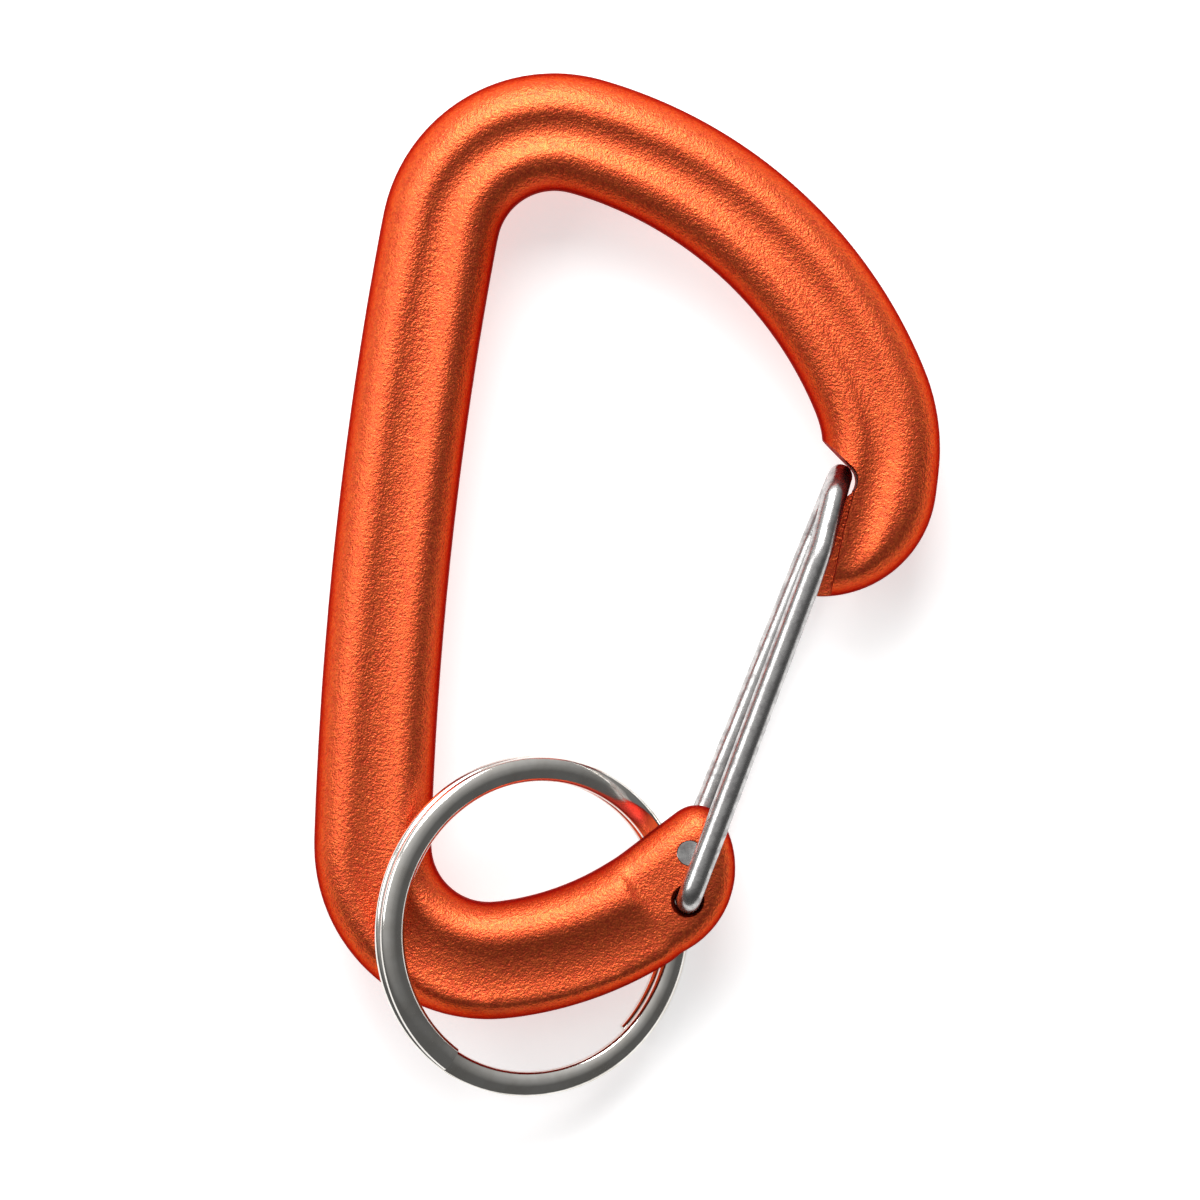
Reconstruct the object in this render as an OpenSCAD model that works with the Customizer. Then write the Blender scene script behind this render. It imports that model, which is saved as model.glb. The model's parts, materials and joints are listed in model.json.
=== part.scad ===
// Accessory carabiner: a forged aluminium body, a bent wire gate and a split ring.
// It lies face up: X towards the gate, Y towards the wide bow, Z out of the front face.

/* [Body bar] */
// Width of the bar, across the face
bar_w = 8.6; // [8.2:0.1:8.8]
// Thickness of the bar, front to back
bar_t = 7; // [6.8:0.1:7.2]
// Radius that rounds the bar's four long edges
edge_r = 2.5; // [2:0.1:3]
// Depth of the groove along each face
groove_depth = 0.55; // [0.3:0.05:0.8]

/* [Body outline] */
// Centreline radius of the bow beside the nose
side_bow_r = 11; // [10.5:0.1:11.5]
// Centreline radius of the wide bow that carries the load
top_bow_r = 32; // [31:0.5:33]
// Centreline radius of the shoulder, where the bow meets the spine
shoulder_r = 8.5; // [8:0.1:9]
// Centreline radius of the slightly bulging spine
spine_r = 290; // [270:5:310]
// Centreline radius of the heel, where the spine meets the arm
heel_r = 8.5; // [8:0.1:9]
// Centreline radius of the arm that runs up to the hinge tab
arm_r = 24; // [23.5:0.5:25]

/* [Nose] */
// Outer radius of the nose's round corner
nose_r = 8.5; // [8.3:0.1:8.6]
// Thickness of the tongue that the gate closes over
tongue_t = 2.2; // [1.8:0.1:2.4]

/* [Hinge tab] */
// Thickness of the tab between its two flats
tab_t = 5.5; // [5.2:0.1:5.8]
// Radius of the tab's outer corner
tab_r = 6.9; // [6.8:0.1:7]
// Radius of the tab's inner corner
tab_corner_r = 2.2; // [2:0.1:2.4]

/* [Wire gate] */
// Diameter of the gate's wire
wire_d = 1.8; // [1.6:0.1:1.9]
// Running clearance of the wire in its pivot holes, on the radius
pivot_gap = 0.05; // [0.02:0.01:0.08]
// Gap between each leg and the tab's flat
leg_gap = 0.15; // [0.1:0.05:0.2]
// How far the front leg is kinked sideways where its dip starts
leg_kink = 0.35; // [0:0.05:0.4]
// Slope of each leg's dip towards the nose, in degrees
dip_angle = 16; // [14:1:18]

/* [Split ring] */
// Outer diameter of the split ring
ring_od = 25; // [24.5:0.5:25]
// Radial width of the ring's flat wire
ring_band_w = 1.7; // [1.6:0.1:1.8]
// Thickness of one of the ring's two coils
ring_coil_t = 0.9; // [0.8:0.05:1]
// Tilt of the ring where it rests, over the heel and under the arm, in degrees
ring_tilt = 26.5; // [26.5:0.5:30]

/* [Hidden] */
$fn = 64;

// The bar's centreline: where it starts above the nose, then one [radius, turn] for each bow
START = [19.3, 12.2];
START_HEADING = 90;
BOWS = [
    [side_bow_r, 28.7],
    [top_bow_r, 52.2],
    [shoulder_r, 95.1],
    [spine_r, 9],
    [heel_r, 97.9],
    [arm_r, 31]
];

// Where the gate's crossbar rests in the nose
CROSSBAR = [16.4, 10.8];

half_w = bar_w / 2;
half_t = bar_t / 2;
wire_r = wire_d / 2;
bore_r = wire_r + pivot_gap;

// Direction of an angle on the face, and the point that a bow turns about
function along(angle) = [cos(angle), sin(angle)];
function bow_centre(point, heading, radius) = point + radius * along(heading + 90);

// Position and heading at the start of bow i
function bow_start(i) = i == 0 ? START : let(
    before = bow_start(i - 1),
    heading = bow_heading(i - 1),
    radius = BOWS[i - 1][0],
    centre = bow_centre(before, heading, radius)
) centre - radius * along(bow_heading(i) + 90);
function bow_heading(i) = i == 0 ? START_HEADING : bow_heading(i - 1) + BOWS[i - 1][1];

SHOULDER = 2;
SPINE = 3;
HEEL = 4;
ARM_END = bow_start(len(BOWS));
ARM_HEADING = bow_heading(len(BOWS));

// The gate's pivots go with the arm's end, and the ring with the heel that it hangs on
FRONT_PIVOT = ARM_END + [1.84, -0.06];
BACK_PIVOT = ARM_END + [1.54, 3.44];
RING_CENTRE = concat(centre_of(HEEL) + [4.02, -5.55], 0.05);

// The origin: centre of the overall length and width, at the lowest point of the ring
function centre_of(i) = bow_centre(bow_start(i), bow_heading(i), BOWS[i][0]);
left_x = centre_of(SPINE)[0] - spine_r - half_w;
right_x = START[0] + half_w;
crest_y = centre_of(SHOULDER)[1] + shoulder_r + half_w;
ring_foot_y = RING_CENTRE[1] - ring_od / 2;
COIL_GAP = 0.06;
BAND_BEVEL = 0.28;
coil_pitch = ring_coil_t + COIL_GAP;
ring_t = coil_pitch + ring_coil_t;
ring_reach_z = (ring_od / 2 - BAND_BEVEL) * sin(ring_tilt) + ring_t / 2 * cos(ring_tilt);
ORIGIN = [(left_x + right_x) / 2, (crest_y + ring_foot_y) / 2, RING_CENTRE[2] - ring_reach_z];

// Height of the face at a distance in from the body's edge
function face_z(inset) = inset >= edge_r ? half_t
    : half_t - edge_r + sqrt(pow(edge_r, 2) - pow(edge_r - inset, 2));

// A station is the bar's inner point, its outer point and how deep its groove is there, 0 to 1
function bow_station(i, angle) = let(
    centre = centre_of(i),
    out = along(bow_heading(i) - 90 + angle),
    radius = BOWS[i][0]
) [centre + (radius - half_w) * out, centre + (radius + half_w) * out, 1];
BOW_STEPS = [5, 11, 14, 6, 14, 9];

// Nose: the outer edge turns a round corner while the inner edge runs straight up to the bow
NOSE_STEPS = 9;
NOSE_SWEEP = 84;
NOSE_LENGTH = 1.6;
NOSE_BLUNT = 0.2;
NOSE_GROOVE_RISE = 1.4;
NOSE_CENTRE = START + [half_w - nose_r, -NOSE_LENGTH];
NOSE_TIP_Y = NOSE_CENTRE[1] - nose_r + NOSE_BLUNT;
function nose_station(t) = let(
    corner = NOSE_CENTRE + nose_r * along(NOSE_SWEEP * (t - 1)),
    edge = [START[0] - half_w, NOSE_TIP_Y + t * (NOSE_CENTRE[1] - NOSE_TIP_Y)]
) [edge, corner, min(1, NOSE_GROOVE_RISE * t)];

// Hinge tab: a wide outer corner and a tight inner one, tangent to each other
TAB_STEPS = 12;
TAB_CENTRE = ARM_END + (tab_r - half_w) * along(ARM_HEADING + 90);
TAB_SPREAD = tab_r - tab_corner_r;
tab_inner = bar_w - tab_r;
TAB_LEAN = asin((tab_corner_r - tab_inner) / TAB_SPREAD);
TAB_CORNER = TAB_CENTRE + TAB_SPREAD * along(ARM_HEADING - TAB_LEAN);
TAB_TIP = 40;
TAB_END_SPREAD = 12;
TAB_STRAIGHT_SHARE = 0.6;
function tab_outer(t) = let(
    turn = -90 + t * (90 + TAB_TIP - TAB_END_SPREAD),
    wide = turn < -TAB_LEAN
) (wide ? TAB_CENTRE : TAB_CORNER)
    + (wide ? tab_r : tab_corner_r) * along(ARM_HEADING + turn);
function tab_inner_edge(t) = let(
    reach = TAB_SPREAD * cos(TAB_LEAN),
    start = TAB_CENTRE + tab_inner * along(ARM_HEADING + 90),
    round_share = (t - TAB_STRAIGHT_SHARE) / (1 - TAB_STRAIGHT_SHARE),
    turn = 90 - round_share * (90 - TAB_TIP - TAB_END_SPREAD)
) t < TAB_STRAIGHT_SHARE ? start + reach * t / TAB_STRAIGHT_SHARE * along(ARM_HEADING)
    : TAB_CORNER + tab_corner_r * along(ARM_HEADING + turn);
function tab_station(t) = [tab_inner_edge(t), tab_outer(t), 1 - t];

STATIONS = concat(
    [for (k = [0 : NOSE_STEPS]) nose_station(k / NOSE_STEPS)],
    [for (i = [0 : len(BOWS) - 1], k = [0 : BOW_STEPS[i] - 1])
        bow_station(i, BOWS[i][1] * k / BOW_STEPS[i])],
    [for (k = [0 : TAB_STEPS]) tab_station(k / TAB_STEPS)]
);

// Section at a station, from the outer side over the front face to the inner side, then back
SIDE_STEPS = 5;
GROOVE_STEPS = 6;
MAX_EDGE_SHARE = 0.4;
function section(station) = let(
    inner = station[0],
    outer = station[1],
    width = norm(outer - inner),
    out = (outer - inner) / width,
    edge = min(edge_r, MAX_EDGE_SHARE * width),
    side = [for (k = [0 : SIDE_STEPS]) let(inset = edge * (1 - cos(90 * k / SIDE_STEPS)))
        [inset, face_z(inset)]],
    crest_z = face_z(edge),
    depth = groove_depth * station[2],
    groove = [for (k = [1 : GROOVE_STEPS - 1]) let(t = k / GROOVE_STEPS)
        [edge + t * (width - 2 * edge), crest_z - depth * (1 - cos(360 * t)) / 2]],
    front = concat(
        side,
        groove,
        [for (k = [SIDE_STEPS : -1 : 0]) [width - side[k][0], side[k][1]]]
    ),
    half = [for (p = front) [outer[0] - p[0] * out[0], outer[1] - p[0] * out[1], p[1]]]
) concat(half, [for (k = [len(half) - 1 : -1 : 0]) [half[k][0], half[k][1], -half[k][2]]]);

// Solid skin through a list of rings that all have the same number of points
module skin(rings) {
    n = len(rings[0]);
    last = (len(rings) - 1) * n;
    walls = [for (i = [0 : len(rings) - 2], k = [0 : n - 1]) let(
        a = i * n + k,
        b = i * n + (k + 1) % n
    ) each [[a, b, b + n], [a, b + n, a + n]]];
    ends = [for (k = [1 : n - 2]) each [[0, k + 1, k], [last, last + k, last + k + 1]]];
    polyhedron([for (ring = rings) each ring], concat(walls, ends), convexity = 10);
}

// Flats on both faces of the hinge tab, each behind a sloped step across the arm. They reach
// past the tab but stop short of the nose.
FLAT_STEP = ARM_END + [-1.56, 0.44];
FLAT_HEADING = 35;
STEP_RUN = 0.9;
FLAT_REACH = 14;
CUT_LAP = 0.01;
module tab_flats() {
    for (side = [0, 1])
        mirror([0, 0, side])
            translate([FLAT_STEP[0], FLAT_STEP[1], 0])
                rotate([90, 0, FLAT_HEADING])
                    linear_extrude(2 * FLAT_REACH, center = true)
                        polygon([
                            [0, tab_t / 2],
                            [FLAT_REACH, tab_t / 2],
                            [FLAT_REACH, bar_t],
                            [-STEP_RUN, bar_t],
                            [-STEP_RUN, half_t + CUT_LAP]
                        ]);
}

// A gate pivot: a through bore whose mouth is opened where the wire bends in
MOUTH_R = 1.4;
MOUTH_DEPTH = 0.5;
module pivot_hole(pivot, side) {
    translate([pivot[0], pivot[1], 0]) {
        cylinder(r = bore_r, h = 2 * bar_t, center = true);
        mirror([0, 0, side < 0 ? 1 : 0])
            translate([0, 0, tab_t / 2 - MOUTH_DEPTH])
                cylinder(r1 = bore_r, r2 = MOUTH_R + bore_r - wire_r, h = MOUTH_DEPTH + pivot_gap);
    }
}

// Notch in the nose that takes the gate's crossbar, open towards the inside. Below it the
// tongue's inner edge leans with the gate's legs, from this height up.
TONGUE_LEAN_Y = 4.5;
NOTCH_GAP = 0.3;
NOTCH_R = wire_r + NOTCH_GAP;
NOTCH_LEAN = 53;
OPENING_X = 12;
module nose_notch() {
    roof = CROSSBAR + NOTCH_R * along(NOTCH_LEAN);
    linear_extrude(2 * bar_t, center = true) {
        translate(CROSSBAR)
            circle(NOTCH_R);
        polygon([
            CROSSBAR - [0, NOTCH_R],
            roof,
            roof + half_w * along(NOTCH_LEAN + 90),
            [OPENING_X, TONGUE_LEAN_Y],
            [START[0] - half_w, TONGUE_LEAN_Y]
        ]);
    }
}

// Recess on both faces that leaves the nose's inner side as a thin tongue between the legs. Its
// step runs down from the notch to below the nose's tip.
TONGUE_STEP = [[17.1, 7.1], [16.8, 3.5], [16.6, 0]];
STEP_LAP = 0.05;
module tongue_recess() {
    for (side = [0, 1])
        mirror([0, 0, side])
            translate([0, 0, tongue_t / 2])
                linear_extrude(bar_t)
                    polygon(concat(
                        [CROSSBAR + [NOTCH_R - STEP_LAP, 0]],
                        TONGUE_STEP,
                        [[OPENING_X, 0], [OPENING_X, CROSSBAR[1]]]
                    ));
}

module body() {
    color([0.86, 0.33, 0.16])
        translate(-ORIGIN)
            difference() {
                skin([for (s = STATIONS) section(s)]);
                tab_flats();
                nose_notch();
                tongue_recess();
                pivot_hole(FRONT_PIVOT, 1);
                pivot_hole(BACK_PIVOT, -1);
            }
}

// Side view of a gate leg, [distance from the pivot, height]: up out of the hole, along the
// tab's flat to the nose, down beside the tongue and into the crossbar
ELBOW_R = 1.2;
DIP_LENGTH = 6;
DIP_R = 5;
CROSSBAR_BEND_R = 1.5;
CROSSBAR_GAP = 0.06;
ROOT_LAP = 0.3;
FACET_INSET = 0.005;
leg_z = tab_t / 2 + leg_gap + wire_r;
journal_top = leg_z - ELBOW_R;
function arc_points(centre, radius, from, to, steps) =
    [for (k = [0 : steps]) centre + radius * along(from + (to - from) * k / steps)];
function leg_path(length) = let(
    slope_run = DIP_LENGTH - DIP_R * sin(dip_angle) - CROSSBAR_BEND_R * (1 - sin(dip_angle)),
    dip_start = [length - DIP_LENGTH, leg_z],
    dip_end = dip_start + DIP_R * [sin(dip_angle), cos(dip_angle) - 1],
    bend_start = dip_end + slope_run * [1, -tan(dip_angle)],
    bend_centre = bend_start - CROSSBAR_BEND_R * [sin(dip_angle), cos(dip_angle)]
) concat(
    [[0, journal_top - ROOT_LAP]],
    arc_points([ELBOW_R, journal_top], ELBOW_R, 180, 90, 6),
    arc_points(dip_start - [0, DIP_R], DIP_R, 90, 90 - dip_angle, 3),
    arc_points(bend_centre, CROSSBAR_BEND_R, 90 - dip_angle, 0, 6),
    [[length, CROSSBAR_GAP / 2]]
);

// Rings of a round wire about a path in one upright plane, kinked sideways at one distance
WIRE_SIDES = 16;
function sideways(u, length, kink) = let(bend = length - DIP_LENGTH)
    -kink * min(u / bend, (length - u) / DIP_LENGTH);
function wire_rings(path, radius, kink) = [
    for (i = [0 : len(path) - 1]) let(
        ahead = path[min(i + 1, len(path) - 1)] - path[max(i, 1) - 1],
        slope = atan2(ahead[1], ahead[0])
    ) [for (k = [0 : WIRE_SIDES - 1]) let(turn = 360 * k / WIRE_SIDES) [
        path[i][0] - radius * cos(turn) * sin(slope),
        radius * sin(turn) + sideways(path[i][0], path[len(path) - 1][0], kink),
        path[i][1] + radius * cos(turn) * cos(slope)
    ]]
];

// Half of the gate: a journal in its pivot hole, the leg and its half of the crossbar
module gate_leg(pivot, side, kink) {
    reach = CROSSBAR - pivot;
    journal_end = tab_t / 2;
    translate([pivot[0], pivot[1], 0])
        rotate(atan2(reach[1], reach[0]))
            mirror([0, 0, side < 0 ? 1 : 0]) {
                translate([0, 0, -journal_end])
                    cylinder(r = wire_r, h = journal_end + journal_top);
                skin(wire_rings(leg_path(norm(reach)), wire_r - FACET_INSET, kink));
            }
}

module gate_front_leg() {
    color([0.72, 0.71, 0.7])
        translate(-ORIGIN)
            gate_leg(FRONT_PIVOT, 1, leg_kink);
}

module gate_back_leg() {
    color([0.72, 0.71, 0.7])
        translate(-ORIGIN)
            gate_leg(BACK_PIVOT, -1, 0);
}

// Split ring: one flat wire wound twice round, crossing from one coil to the other in a jog
JOG_ANGLE = 241;
JOG_SWEEP = 80;
COIL_STEPS = 46;
JOG_STEPS = 14;
function coil_height(turn) = let(
    t = min(1, max(0, (turn - JOG_ANGLE) / JOG_SWEEP))
) coil_pitch * (t * t * (3 - 2 * t) - 0.5);
RING_TURNS = concat(
    [for (k = [0 : COIL_STEPS - 1]) JOG_ANGLE - (360 - JOG_SWEEP) * (1 - k / COIL_STEPS)],
    [for (k = [0 : JOG_STEPS - 1]) JOG_ANGLE + JOG_SWEEP * k / JOG_STEPS],
    [for (k = [0 : COIL_STEPS]) JOG_ANGLE + JOG_SWEEP + (360 - JOG_SWEEP) * k / COIL_STEPS]
);
BAND_SECTION = let(
    a = ring_band_w / 2,
    b = ring_coil_t / 2,
    c = BAND_BEVEL
) [[a, c - b], [a, b - c], [a - c, b], [c - a, b], [-a, b - c], [-a, c - b], [c - a, -b], [a - c, -b]];
ring_mid_r = (ring_od - ring_band_w) / 2;
echo(least_gap_between_ring_coils = min([
    for (k = [0 : 5 : 360 - JOG_SWEEP]) let(turn = JOG_ANGLE + k)
        coil_height(turn + JOG_SWEEP) - coil_height(turn + JOG_SWEEP - 360) - ring_coil_t
]));

module split_ring() {
    color([0.8, 0.8, 0.8])
        translate(RING_CENTRE - ORIGIN)
            rotate([0, ring_tilt, 0])
                skin([for (turn = RING_TURNS) [for (p = BAND_SECTION) let(r = ring_mid_r + p[0])
                    [r * cos(turn), r * sin(turn), coil_height(turn) + p[1]]]]);
}

body();
gate_front_leg();
gate_back_leg();
split_ring();
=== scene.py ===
"""Accessory carabiner: the finished look of its forged body, wire gate and split ring."""

import json
import math
import bmesh
import bpy
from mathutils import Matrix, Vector


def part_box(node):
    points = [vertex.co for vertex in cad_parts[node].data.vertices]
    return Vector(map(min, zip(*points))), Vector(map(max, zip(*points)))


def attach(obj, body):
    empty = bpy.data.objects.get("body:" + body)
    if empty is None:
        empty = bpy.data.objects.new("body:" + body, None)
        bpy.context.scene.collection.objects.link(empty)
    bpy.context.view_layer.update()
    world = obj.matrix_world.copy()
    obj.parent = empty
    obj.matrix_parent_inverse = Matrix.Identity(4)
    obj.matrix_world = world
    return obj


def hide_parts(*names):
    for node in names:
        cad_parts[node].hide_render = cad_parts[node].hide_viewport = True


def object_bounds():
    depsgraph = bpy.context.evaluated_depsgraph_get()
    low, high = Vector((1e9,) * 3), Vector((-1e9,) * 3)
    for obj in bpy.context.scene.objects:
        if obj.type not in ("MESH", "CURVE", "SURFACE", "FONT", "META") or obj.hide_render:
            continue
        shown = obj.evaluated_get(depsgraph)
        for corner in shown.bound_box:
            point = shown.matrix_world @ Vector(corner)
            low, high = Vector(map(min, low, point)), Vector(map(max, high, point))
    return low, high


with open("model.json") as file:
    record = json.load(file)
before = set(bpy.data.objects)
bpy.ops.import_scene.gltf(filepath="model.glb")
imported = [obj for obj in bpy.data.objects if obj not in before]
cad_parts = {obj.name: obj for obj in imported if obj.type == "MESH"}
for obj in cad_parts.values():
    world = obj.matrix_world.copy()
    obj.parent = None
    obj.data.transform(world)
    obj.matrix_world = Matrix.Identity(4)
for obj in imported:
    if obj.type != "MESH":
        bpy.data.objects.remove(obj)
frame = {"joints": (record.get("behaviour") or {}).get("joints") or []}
cad_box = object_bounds()

# Pieces are drawn in millimetres, about a point in the body's middle plane, and set in place last.
MM = 0.001
FRONT_PIVOT = Vector((9.003, -21.096, 0))
joint_places = {joint["name"]: Vector(joint["pos_m"]) for joint in frame["joints"]}
DRAWING_ORIGIN = joint_places["gate_front_hinge"] - FRONT_PIVOT * MM


def drawn(point):
    """A point of the frame, in the drawing's millimetres."""
    return (Vector(point) - DRAWING_ORIGIN) / MM


BACK_PIVOT = drawn(joint_places["gate_back_hinge"])
RING_CENTRE = drawn(joint_places["ring_swing"])
body_low, body_high = (drawn(corner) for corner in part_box("body"))

# The bar and the bows that it runs through, each [centreline radius, turn in degrees, steps]
BAR_W = 8.6
BAR_T = body_high.z - body_low.z
EDGE_R = 2.85
START = Vector((body_high.x - BAR_W / 2, 12.2, 0))
START_HEADING = 90
SIDE_BOW, TOP_BOW, SHOULDER, SPINE, HEEL, ARM = BOWS = [
    [11, 28.7, 12],
    [32, 52.2, 40],
    [8.5, 95.1, 30],
    [290, 9, 30],
    [8.5, 97.9, 30],
    [24, 31, 20],
]
HALF_W = BAR_W / 2
HALF_T = BAR_T / 2

# Nose and hinge tab
NOSE_R = 8.5
NOSE_LENGTH = 1.6
TAB_T = 5.5
TAB_R = 6.9
CROSSBAR = Vector((16.4, 10.8, 0))
WIRE_R = 0.9

UP = Vector((0, 0, 1))
SAME_PLACE = 0.001
SMOOTH_ANGLE = 35


def along(degrees):
    return Vector((math.cos(math.radians(degrees)), math.sin(math.radians(degrees)), 0))


# Modelling tools. Those from pick to outward work on the piece that is in edit mode.

def edit(piece):
    if bpy.context.object and bpy.context.object.mode != "OBJECT":
        bpy.ops.object.mode_set(mode="OBJECT")
    bpy.ops.object.select_all(action="DESELECT")
    piece.select_set(True)
    bpy.context.view_layer.objects.active = piece
    bpy.ops.object.mode_set(mode="EDIT")
    bpy.ops.mesh.select_mode(type="VERT")
    bpy.ops.mesh.select_all(action="SELECT")


def leave_edit():
    bpy.ops.object.mode_set(mode="OBJECT")


def new_piece(name, add, **settings):
    bpy.ops.object.select_all(action="DESELECT")
    add(**settings)
    piece = bpy.context.object
    piece.name = name
    piece.data.name = name
    return piece


def pick(test, kind="verts"):
    """Selects the vertices or edges that pass the test, and nothing else."""
    mesh = bpy.context.object.data
    bm = bmesh.from_edit_mesh(mesh)
    bpy.ops.mesh.select_mode(type={"verts": "VERT", "edges": "EDGE"}[kind])
    bpy.ops.mesh.select_all(action="DESELECT")
    for element in getattr(bm, kind):
        element.select = bool(test(element))
    bm.select_flush_mode()
    bmesh.update_edit_mesh(mesh)


def move(offset):
    bpy.ops.transform.translate(value=offset)


def turn(degrees, centre, axis="Z"):
    """Turns what is selected anticlockwise, seen from the axis's positive end."""
    bpy.ops.transform.rotate(value=-math.radians(degrees), orient_axis=axis, center_override=centre)


def resize(factors, centre):
    bpy.ops.transform.resize(value=factors, center_override=centre)


def spin(degrees, centre, steps, axis=UP):
    """Sweeps the selected loop anticlockwise about the axis."""
    bpy.ops.mesh.spin(angle=-math.radians(degrees), center=centre, axis=axis, steps=steps)


def extrude(offset):
    bpy.ops.mesh.extrude_region_move(TRANSFORM_OT_translate={"value": offset})


def extrude_loop(offset):
    bpy.ops.mesh.extrude_edges_move(TRANSFORM_OT_translate={"value": offset})


def fill_open_ends():
    bpy.ops.mesh.select_mode(type="EDGE")
    bpy.ops.mesh.select_all(action="DESELECT")
    bpy.ops.mesh.select_non_manifold()
    bpy.ops.mesh.edge_face_add()


def outward():
    bpy.ops.mesh.select_mode(type="VERT")
    bpy.ops.mesh.select_all(action="SELECT")
    bpy.ops.mesh.remove_doubles(threshold=0.0005)
    bpy.ops.mesh.normals_make_consistent(inside=False)


def apply_modifier(piece, kind, **settings):
    bpy.ops.object.select_all(action="DESELECT")
    piece.select_set(True)
    bpy.context.view_layer.objects.active = piece
    modifier = piece.modifiers.new(kind.title(), kind)
    for name, value in settings.items():
        setattr(modifier, name, value)
    bpy.ops.object.modifier_apply(modifier=modifier.name)


def cut(piece, cutter):
    """Cuts another piece away, which is used up."""
    apply_modifier(piece, "BOOLEAN", object=cutter, operation="DIFFERENCE", solver="MANIFOLD")
    bpy.data.objects.remove(cutter)


def set_in_place(piece):
    """Brings a drawn piece to its size and place in the frame, in its mesh."""
    edit(piece)
    outward()
    resize((MM, MM, MM), (0, 0, 0))
    move(DRAWING_ORIGIN)
    leave_edit()
    bpy.ops.object.shade_smooth_by_angle(angle=math.radians(SMOOTH_ANGLE))


def rounded_loop(name, width, height, radius, segments):
    """An upright rounded rectangle in the XZ plane, left open, in edit mode."""
    loop = new_piece(name, bpy.ops.mesh.primitive_plane_add, size=1)
    edit(loop)
    resize((width, height, 1), (0, 0, 0))
    bpy.ops.mesh.bevel(offset=radius, segments=segments, affect="VERTICES")
    bpy.ops.mesh.subdivide(number_cuts=2)
    pick(lambda vertex: True)
    turn(-90, (0, 0, 0), axis="X")
    bpy.ops.mesh.delete(type="ONLY_FACE")
    bpy.ops.mesh.select_all(action="SELECT")
    return loop


def column(name, points, low, high):
    """An upright block over an outline."""
    block = new_piece(name, bpy.ops.mesh.primitive_circle_add,
                      vertices=len(points), radius=1, fill_type="NGON")
    edit(block)
    bm = bmesh.from_edit_mesh(block.data)
    bm.verts.ensure_lookup_table()
    for vertex, point in zip(bm.verts, points):
        vertex.co = (point[0], point[1], low)
    bmesh.update_edit_mesh(block.data)
    pick(lambda vertex: True)
    extrude((0, 0, high - low))
    outward()
    leave_edit()
    return block


def past_bow(point, heading, bow):
    """A bow's centre, and the bar's place and heading where the bow ends."""
    radius, sweep, _ = bow
    centre = point + radius * along(heading + 90)
    heading += sweep
    return centre, centre - radius * along(heading + 90), heading


def sweep_bows(bows):
    """Sweeps the selected loop from the bar's start through the bows."""
    point, heading = START, START_HEADING
    for bow in bows:
        centre, point, heading = past_bow(point, heading, bow)
        spin(bow[1], centre, bow[2])


def pick_start_loop():
    """Selects the open end at the bar's start, where the nose goes on from it."""
    pick(lambda vertex: vertex.co.x > 0 and abs(vertex.co.y - START.y) < SAME_PLACE)


# Body: the bar, swept through its bows, then the nose, the tab and the grooves

ARM_SHORT = 4
NOSE_STEPS = 22


def swept_bar():
    bar = rounded_loop("body_forging", BAR_W, BAR_T, EDGE_R, segments=8)
    move(START)
    radius, sweep, steps = ARM
    sweep_bows(BOWS[:-1] + [[radius, sweep - ARM_SHORT, steps]])
    pick_start_loop()
    extrude_loop((0, -NOSE_LENGTH, 0))
    nose_centre = START + Vector((HALF_W - NOSE_R, -NOSE_LENGTH, 0))
    spin(-90, nose_centre, NOSE_STEPS)
    fill_open_ends()
    outward()
    leave_edit()
    return bar


def arm_end():
    point, heading = START, START_HEADING
    for bow in BOWS:
        _, point, heading = past_bow(point, heading, bow)
    return point, heading


ARM_END, ARM_HEADING = arm_end()
TAB_CENTRE = ARM_END + (TAB_R - HALF_W) * along(ARM_HEADING + 90)
TAB_RIM_R = 2.1
TAB_CORNER_R = 2.2
TAB_SPREAD = TAB_R - TAB_CORNER_R
TAB_LEAN = math.degrees(math.asin((TAB_CORNER_R + TAB_R - BAR_W) / TAB_SPREAD))
TAB_CORNER = TAB_CENTRE + TAB_SPREAD * along(ARM_HEADING - TAB_LEAN)
TAB_WRAP = 150
TAB_ROOT = 4


def arc(centre, radius, first, last, steps):
    """Points along an arc, from one heading to another."""
    return [centre + radius * along(first + (last - first) * step / steps)
            for step in range(steps + 1)]


def hinge_tab():
    """A wide outer corner and a tight inner one, with rims that roll over to the flats."""
    outline = arc(TAB_CENTRE, TAB_R, ARM_HEADING - TAB_WRAP, ARM_HEADING - TAB_LEAN, steps=48)
    outline += arc(TAB_CORNER, TAB_CORNER_R, ARM_HEADING - TAB_LEAN, ARM_HEADING + 90, steps=16)[1:]
    inner_edge = ARM_END + HALF_W * along(ARM_HEADING + 90)
    outline.append(inner_edge - TAB_ROOT * along(ARM_HEADING))
    tab = column("tab", outline, -TAB_T / 2, TAB_T / 2)
    edit(tab)
    pick(lambda edge: abs(edge.verts[0].co.z - edge.verts[1].co.z) < SAME_PLACE, kind="edges")
    bpy.ops.mesh.bevel(offset=TAB_RIM_R, segments=8)
    outward()
    leave_edit()
    return tab


GROOVE_R = 2.5
GROOVE_DEPTH = 0.48
GROOVE_SHIFT = 0.2
SPINE_EASE = 1.6
# Each run of the groove: [radius, turn, steps], how far it lifts, how much wider it gets and
# how far it drifts outward
GROOVE_RUNS = [
    [SIDE_BOW, 0, 1, 0],
    [TOP_BOW, 0, 1, 0],
    [SHOULDER, 0, 1, 0],
    [[SPINE[0], SPINE_EASE, 8], 0.05, 1.7, 0],
    [[SPINE[0], SPINE[1] - 2 * SPINE_EASE, 14], 0, 1, 0],
    [[SPINE[0], SPINE_EASE, 8], -0.05, 1, 0],
    [HEEL, -0.25, 1.5, 1.6],
    [ARM, -0.15, 1.3, 0.7],
]
GROOVE_OVERRUN = 3
# The groove's way down the nose, each run [across, down]
NOSE_RUNS = [[-0.35, -3.6], [-0.6, -3.8], [-0.5, -5]]


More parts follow.
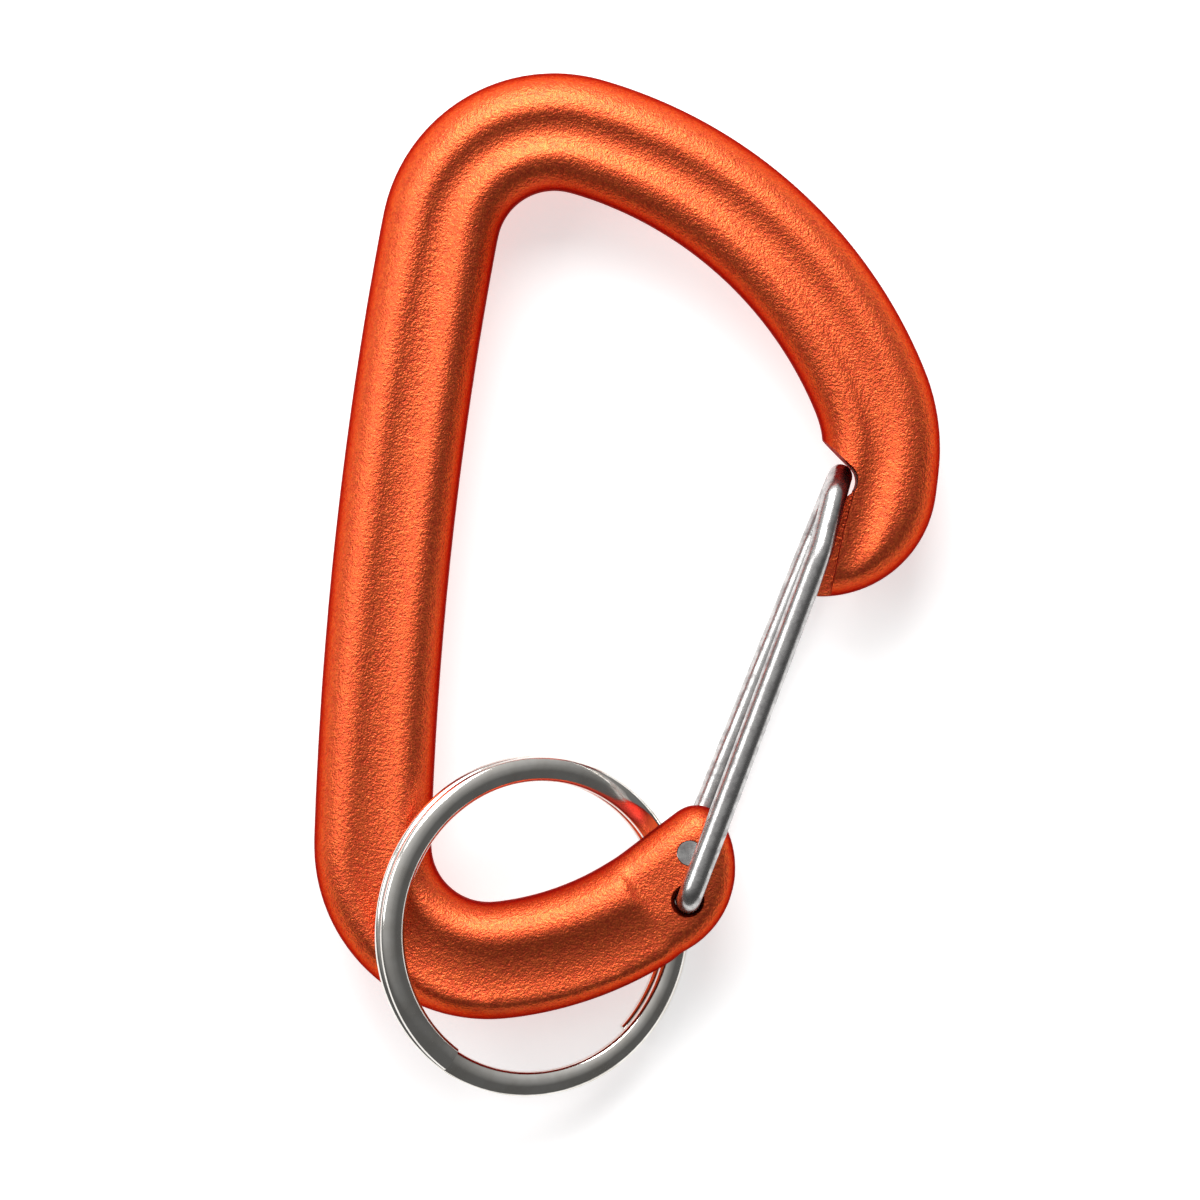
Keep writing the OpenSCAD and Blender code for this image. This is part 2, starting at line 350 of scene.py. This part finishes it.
def groove_cutter(side):
    """A round bar that sinks into one face along the bar's middle."""
    cutter = new_piece("groove", bpy.ops.mesh.primitive_circle_add, vertices=48, radius=GROOVE_R)
    edit(cutter)
    turn(90, (0, 0, 0), axis="X")
    floor_z = side * (HALF_T - GROOVE_DEPTH)
    move(START + Vector((-GROOVE_SHIFT, 0, floor_z + side * GROOVE_R)))
    point, heading = START, START_HEADING
    for (radius, sweep, steps), lift, growth, drift in GROOVE_RUNS:
        centre = point + radius * along(heading + 90)
        for _ in range(steps):
            spin(sweep / steps, centre, 1)
            heading += sweep / steps
            point = centre - radius * along(heading + 90)
            floor_z += side * lift / steps
            move(drift / steps * along(heading - 90) + UP * side * lift / steps)
            grown = growth ** (1 / steps)
            resize((grown, grown, grown), (point.x, point.y, floor_z))
    extrude_loop(along(heading) * GROOVE_OVERRUN)
    pick_start_loop()
    for across, down in NOSE_RUNS:
        extrude_loop((across, down, 0))
    fill_open_ends()
    outward()
    leave_edit()
    return cutter


FORGED_GRAIN = 0.25


def forged_body():
    tab = hinge_tab()
    body = swept_bar()
    bpy.ops.object.select_all(action="DESELECT")
    tab.select_set(True)
    body.select_set(True)
    bpy.context.view_layer.objects.active = body
    bpy.ops.object.join()
    apply_modifier(body, "REMESH", mode="VOXEL", voxel_size=FORGED_GRAIN)
    for side in (1, -1):
        cut(body, groove_cutter(side))
    apply_modifier(body, "REMESH", mode="VOXEL", voxel_size=FORGED_GRAIN)
    apply_modifier(body, "SMOOTH", factor=0.5, iterations=16)
    return body


# Cuts that are machined after forging

FLAT_STEP = Vector((5.6, -20.6, 0))
FLAT_HEADING = 35
STEP_RUN = 0.9
FLAT_REACH = 14


def flat_cutter(side):
    """A block that faces one side of the tab down to its flat, behind a sloped step."""
    flat = TAB_T / 2
    cutter = new_piece("flat", bpy.ops.mesh.primitive_cube_add, size=1)
    edit(cutter)
    resize((FLAT_REACH, 2 * FLAT_REACH, BAR_T), (0, 0, 0))
    move((FLAT_REACH / 2, 0, flat + BAR_T / 2))
    pick(lambda vertex: vertex.co.x < SAME_PLACE and vertex.co.z > BAR_T)
    move((-STEP_RUN * BAR_T / (HALF_T - flat), 0, 0))
    bpy.ops.mesh.select_all(action="SELECT")
    turn(FLAT_HEADING, (0, 0, 0))
    if side < 0:
        resize((1, 1, -1), (0, 0, 0))
    move(FLAT_STEP)
    outward()
    leave_edit()
    return cutter


def post(name, centre, radius, low, high, top_radius=None):
    top_radius = radius if top_radius is None else top_radius
    peg = new_piece(name, bpy.ops.mesh.primitive_cone_add, vertices=64, radius1=radius,
                    radius2=top_radius, depth=high - low,
                    location=(centre.x, centre.y, (low + high) / 2))
    bpy.ops.object.transform_apply(location=True)
    return peg


NOTCH_R = 1.3
NOTCH_LEAN = 53
TONGUE_T = 2.2
TONGUE_LEAN_Y = 4.5
TONGUE_STEP = [(17.1, 7.1), (16.8, 3.5), (16.6, 0)]
OPENING_X = 12
BORE_R = 0.95
MOUTH_R = 1.3
MOUTH_DEPTH = 0.5
CUT_LAP = 0.05


def cut_flats(body):
    for side in (1, -1):
        cut(body, flat_cutter(side))


def cut_notch(body):
    """The crossbar's round seat in the nose, and the slot that opens it to the inside."""
    cut(body, post("notch", CROSSBAR, NOTCH_R, -BAR_T, BAR_T))
    roof = CROSSBAR + NOTCH_R * along(NOTCH_LEAN)
    mouth = roof + HALF_W * along(NOTCH_LEAN + 90)
    slot = [(CROSSBAR.x, CROSSBAR.y - NOTCH_R), (roof.x, roof.y), (mouth.x, mouth.y),
            (OPENING_X, TONGUE_LEAN_Y), (START.x - HALF_W, TONGUE_LEAN_Y)]
    cut(body, column("slot", slot, -BAR_T, BAR_T))


def cut_tongue(body):
    """Thins the nose's inner side from both faces, which leaves the tongue between them."""
    recess = [(CROSSBAR.x + NOTCH_R - CUT_LAP, CROSSBAR.y)] + TONGUE_STEP
    recess += [(OPENING_X, 0), (OPENING_X, CROSSBAR.y)]
    for side in (1, -1):
        low, high = sorted((side * TONGUE_T / 2, side * BAR_T))
        cut(body, column("recess", recess, low, high))


def bore_pivots(body):
    """A hole through the tab for each leg, flared at the face that the leg leaves."""
    face, deep = TAB_T / 2 + CUT_LAP, TAB_T / 2 - MOUTH_DEPTH
    for pivot, side in ((FRONT_PIVOT, 1), (BACK_PIVOT, -1)):
        cut(body, post("bore", pivot, BORE_R, -BAR_T, BAR_T))
        if side > 0:
            flare = post("flare", pivot, BORE_R, deep, face, top_radius=MOUTH_R)
        else:
            flare = post("flare", pivot, MOUTH_R, -face, -deep, top_radius=BORE_R)
        cut(body, flare)


# Gate: one bent wire, drawn as the two legs that the frame has

LEG_GAP = 0.15
LEG_Z = TAB_T / 2 + LEG_GAP + WIRE_R
ELBOW_R = 1.2
ELBOW_STEPS = 12
DIP_R = 5
DIP_STEPS = 8
DIP_ANGLE = 16
DIP_SLOPE = 3.5
CROSSBAR_BEND_R = 1.4
CROSSBAR_BEND_STEPS = 16
CROSSBAR_LEAN = 20
FRONT_KINK = 0.35
SEAM = 0.03
ACROSS = Vector((0, 1, 0))


def gate_leg(name, pivot, side, kink):
    """A leg lies along +X from its pivot while it is bent, then turns to its heading."""
    leg = new_piece(name, bpy.ops.mesh.primitive_circle_add, vertices=32, radius=WIRE_R)
    reach = CROSSBAR - pivot
    length = math.hypot(reach.x, reach.y)
    dip, lean = math.radians(DIP_ANGLE), math.radians(side * CROSSBAR_LEAN)
    slope_end = LEG_Z - DIP_R * (1 - math.cos(dip)) - DIP_SLOPE * math.tan(dip)
    bend_z = slope_end - CROSSBAR_BEND_R * math.cos(dip)
    last_drop = bend_z + CROSSBAR_BEND_R * math.sin(lean) - SEAM
    last_run = last_drop * math.tan(lean)
    bend_x = length - last_run - CROSSBAR_BEND_R * math.cos(lean)
    dip_x = bend_x + CROSSBAR_BEND_R * math.sin(dip) - DIP_SLOPE - DIP_R * math.sin(dip)
    edit(leg)
    move((0, 0, -TAB_T / 2))
    extrude_loop((0, 0, LEG_Z - ELBOW_R + TAB_T / 2))
    spin(90, (ELBOW_R, 0, LEG_Z - ELBOW_R), ELBOW_STEPS, axis=ACROSS)
    extrude_loop((dip_x - ELBOW_R, -kink, 0))
    spin(DIP_ANGLE, (dip_x, 0, LEG_Z - DIP_R), DIP_STEPS, axis=ACROSS)
    extrude_loop((DIP_SLOPE, kink, -DIP_SLOPE * math.tan(dip)))
    last_bend = 90 - DIP_ANGLE - side * CROSSBAR_LEAN
    spin(last_bend, (bend_x, 0, bend_z), CROSSBAR_BEND_STEPS, axis=ACROSS)
    extrude_loop((last_run, 0, -last_drop))
    turn(side * CROSSBAR_LEAN, (length, 0, SEAM), axis="Y")
    fill_open_ends()
    pick(lambda vertex: True)
    if side < 0:
        resize((1, 1, -1), (0, 0, 0))
    turn(math.degrees(math.atan2(reach.y, reach.x)), (0, 0, 0))
    move((pivot.x, pivot.y, 0))
    leave_edit()
    return leg


# Split ring: a flat wire wound twice round, which crosses from coil to coil in a jog

RING_R = 12.5
BAND_W = 1.7
COIL_T = 0.9
COIL_PITCH = 0.96
BAND_ROUNDING = 0.3
BAND_CROWN = 0.85
RING_TILT = 26.5
JOG_ANGLE = 241
JOG_SWEEP = 80
JOG_STEPS = 24
COIL_STEPS = 110


def split_ring():
    ring = rounded_loop("split_ring_wire", 1, 1, BAND_ROUNDING, segments=6)
    bpy.ops.transform.tosphere(value=BAND_CROWN)
    resize((BAND_W, 1, COIL_T), (0, 0, 0))
    move((RING_R - BAND_W / 2, 0, -COIL_PITCH / 2))
    turn(JOG_ANGLE + JOG_SWEEP - 360, (0, 0, 0))
    spin(360 - JOG_SWEEP, (0, 0, 0), COIL_STEPS)
    risen = 0
    for step in range(1, JOG_STEPS + 1):
        t = step / JOG_STEPS
        height = COIL_PITCH * t * t * (3 - 2 * t)
        spin(JOG_SWEEP / JOG_STEPS, (0, 0, 0), 1)
        move((0, 0, height - risen))
        risen = height
    spin(360 - JOG_SWEEP, (0, 0, 0), COIL_STEPS)
    fill_open_ends()
    pick(lambda vertex: True)
    turn(RING_TILT, (0, 0, 0), axis="Y")
    move(RING_CENTRE)
    leave_edit()
    return ring


# Finishes

class Value:
    """A shader socket that sums and products can be written with."""

    def __init__(self, finish, socket):
        self.finish = finish
        self.socket = socket

    def maths(self, operation, first, second):
        return self.finish.node("ShaderNodeMath", {"operation": operation}, {0: first, 1: second})

    def __add__(self, other):
        return self.maths("ADD", self, other)

    __radd__ = __add__

    def __mul__(self, other):
        return self.maths("MULTIPLY", self, other)

    __rmul__ = __mul__


class Finish:
    """A procedural material that is built node by node."""

    def __init__(self, name):
        self.material = bpy.data.materials.new(name)
        self.material.use_nodes = True
        self.tree = self.material.node_tree
        self.shader = self.tree.nodes["Principled BSDF"]
        self.place = self.node("ShaderNodeTexCoord", {}, {}, "Object")

    def node(self, kind, settings, inputs, output=0):
        made = self.tree.nodes.new(kind)
        for name, value in settings.items():
            setattr(made, name, value)
        for key, value in inputs.items():
            if isinstance(value, Value):
                self.tree.links.new(value.socket, made.inputs[key])
            else:
                made.inputs[key].default_value = value
        return Value(self, made.outputs[output])

    def noise(self, size_mm, detail=2, roughness=0.5):
        inputs = {"Vector": self.place, "Scale": 1 / (size_mm * MM), "Detail": detail,
                  "Roughness": roughness}
        return self.node("ShaderNodeTexNoise", {}, inputs)

    def spread(self, value, low, high, to_low=0.0, to_high=1.0):
        inputs = {"Value": value, "From Min": low, "From Max": high, "To Min": to_low,
                  "To Max": to_high}
        return self.node("ShaderNodeMapRange", {}, inputs)

    def mix(self, factor, first, second):
        return self.node("ShaderNodeMix", {"data_type": "RGBA"}, {0: factor, 6: first, 7: second}, 2)

    def bump(self, height, distance_mm, strength=1.0):
        inputs = {"Height": height, "Distance": distance_mm * MM, "Strength": strength}
        return self.node("ShaderNodeBump", {}, inputs)

    def feed(self, **sockets):
        for name, value in sockets.items():
            socket = self.shader.inputs[name.replace("_", " ").title()]
            if isinstance(value, Value):
                self.tree.links.new(value.socket, socket)
            else:
                socket.default_value = value


ORANGE = (0.80, 0.105, 0.038, 1)
DEEP_ORANGE = (0.56, 0.048, 0.026, 1)
BRIGHT_ORANGE = (1.0, 0.22, 0.050, 1)
# A darker red that is painted on steep faces as shade
PAINTED_SHADE_WALL_ORANGE = (0.33, 0.028, 0.020, 1)
RIM_TINT = (0.45, 0.12, 0.08, 1)
STEEL = (0.56, 0.55, 0.54, 1)
SCUFFED_STEEL = (0.27, 0.26, 0.26, 1)
NICKEL = (0.78, 0.76, 0.72, 1)
DULL_NICKEL = (0.66, 0.63, 0.58, 1)


def anodised_orange():
    finish = Finish("anodised_orange")
    cloud = finish.noise(size_mm=1.1, detail=3)
    grain = finish.noise(size_mm=0.3, detail=2, roughness=0.7)
    fine = finish.noise(size_mm=0.14, detail=1)
    deep = finish.spread(cloud, 0.3, 0.7, to_low=0.1, to_high=0.45)
    speckle = finish.spread(grain, 0.36, 0.64)
    colour = finish.mix(deep, ORANGE, DEEP_ORANGE)
    colour = finish.mix(speckle * 0.4, colour, BRIGHT_ORANGE)
    # Painted shade: the steeper a face stands (side walls and rims), the more it is painted a darker
    # red, so that it looks shaded
    normal = finish.node("ShaderNodeNewGeometry", {}, {}, "Normal")
    upward = finish.node("ShaderNodeSeparateXYZ", {}, {0: normal}, 2)
    level = finish.node("ShaderNodeMath", {"operation": "ABSOLUTE"}, {0: upward})
    colour = finish.mix(finish.spread(level, 0.75, 0.2), colour, PAINTED_SHADE_WALL_ORANGE)
    finish.feed(base_color=colour, metallic=1.0, specular_tint=RIM_TINT,
                roughness=finish.spread(fine, 0.3, 0.7, to_low=0.34, to_high=0.46),
                normal=finish.bump(grain * 0.6 + fine * 0.4, distance_mm=0.1))
    return finish.material


def drawn_steel():
    finish = Finish("drawn_steel")
    scuff = finish.noise(size_mm=0.7, detail=4, roughness=0.7)
    fine = finish.noise(size_mm=0.15)
    colour = finish.mix(finish.spread(scuff, 0.4, 0.7), STEEL, SCUFFED_STEEL)
    finish.feed(base_color=colour, metallic=1.0,
                roughness=finish.spread(scuff, 0.35, 0.7, to_low=0.2, to_high=0.36),
                normal=finish.bump(scuff * 0.5 + fine * 0.5, distance_mm=0.02, strength=0.5))
    return finish.material


def bright_nickel():
    finish = Finish("bright_nickel")
    wave = finish.noise(size_mm=1.6)
    colour = finish.mix(finish.spread(wave, 0.35, 0.7), NICKEL, DULL_NICKEL)
    finish.feed(base_color=colour, metallic=1.0,
                roughness=finish.spread(wave, 0.3, 0.7, to_low=0.07, to_high=0.16),
                normal=finish.bump(wave, distance_mm=0.03, strength=0.35))
    return finish.material


def dress(piece, material, body, node):
    """Gives a piece its finish and its body, and hides the node that it stands for."""
    piece.data.materials.clear()
    piece.data.materials.append(material)
    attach(piece, body)
    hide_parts(node)


body = forged_body()
cut_flats(body)
cut_notch(body)
cut_tongue(body)
bore_pivots(body)
set_in_place(body)
dress(body, anodised_orange(), "frame", "body")

steel = drawn_steel()
front_leg = gate_leg("gate_wire_front", FRONT_PIVOT, 1, FRONT_KINK)
set_in_place(front_leg)
dress(front_leg, steel, "gate_front", "gate_front_leg")
back_leg = gate_leg("gate_wire_back", BACK_PIVOT, -1, 0)
set_in_place(back_leg)
dress(back_leg, steel, "gate_back", "gate_back_leg")

ring = split_ring()
set_in_place(ring)
dress(ring, bright_nickel(), "ring", "split_ring")

# Studio: a pale floor, soft light from the top and the left, and a camera straight above

FLOOR_SIZE = 3.0
FLOOR_ALBEDO = 0.75
FLOOR_LIFT = 0.55


def seen_directly(tree):
    """1 for rays from the camera, a reflection or clear glass, else 0."""
    path = tree.nodes.new("ShaderNodeLightPath")
    seen = path.outputs["Is Camera Ray"]
    for other in ("Is Glossy Ray", "Is Transmission Ray"):
        either = tree.nodes.new("ShaderNodeMath")
        either.operation = "MAXIMUM"
        tree.links.new(seen, either.inputs[0])
        tree.links.new(path.outputs[other], either.inputs[1])
        seen = either.outputs[0]
    return seen


def studio_floor():
    floor = new_piece("floor", bpy.ops.mesh.primitive_plane_add, size=FLOOR_SIZE,
                      location=(0, 0, cad_box[0].z))
    finish = Finish("pale_floor")
    finish.feed(base_color=(FLOOR_ALBEDO,) * 3 + (1,), roughness=0.9)
    strength = Value(finish, seen_directly(finish.tree)) * FLOOR_LIFT
    finish.feed(emission_color=(1, 1, 1, 1), emission_strength=strength)
    floor.data.materials.append(finish.material)


SKY_BRIGHTEST = (-0.25, 0.75, 0.6)
SKY_LEVELS = {"From Min": 0.1, "From Max": 1.0, "To Min": 0.12, "To Max": 0.8}


def studio_world():
    world = bpy.data.worlds.new("studio")
    bpy.context.scene.world = world
    world.use_nodes = True
    tree = world.node_tree
    background = tree.nodes["Background"]
    background.inputs["Color"].default_value = (1, 1, 1, 1)
    place = tree.nodes.new("ShaderNodeTexCoord")
    toward = tree.nodes.new("ShaderNodeVectorMath")
    toward.operation = "DOT_PRODUCT"
    tree.links.new(place.outputs["Generated"], toward.inputs[0])
    toward.inputs[1].default_value = Vector(SKY_BRIGHTEST).normalized()
    level = tree.nodes.new("ShaderNodeMapRange")
    for name, value in SKY_LEVELS.items():
        level.inputs[name].default_value = value
    tree.links.new(toward.outputs["Value"], level.inputs["Value"])
    tree.links.new(level.outputs[0], background.inputs["Strength"])


def soft_lamp(name, place, size, watts):
    lamp = bpy.data.lights.new(name, "AREA")
    lamp.size = size
    lamp.energy = watts
    holder = bpy.data.objects.new(name, lamp)
    bpy.context.scene.collection.objects.link(holder)
    holder.location = place
    holder.rotation_euler = (-Vector(place)).to_track_quat("-Z", "Y").to_euler()


CAMERA_DISTANCE = 0.49
VIEW_WIDTH = 0.0882
CAMERA_ROLL = 6.8


def camera_above():
    camera = bpy.data.cameras.new("camera")
    camera.sensor_width = 36
    camera.lens = camera.sensor_width * CAMERA_DISTANCE / VIEW_WIDTH
    camera.clip_start = 0.01
    holder = bpy.data.objects.new("camera", camera)
    bpy.context.scene.collection.objects.link(holder)
    holder.location = DRAWING_ORIGIN + UP * CAMERA_DISTANCE
    holder.rotation_euler = (0, 0, math.radians(CAMERA_ROLL))
    bpy.context.scene.camera = holder


studio_floor()
studio_world()
soft_lamp("key", place=(-0.05, 0.2, 0.2), size=0.2, watts=0.9)
soft_lamp("left", place=(-0.2, 0.02, 0.2), size=0.14, watts=0.2)
camera_above()
bpy.context.scene.view_settings.view_transform = "Standard"
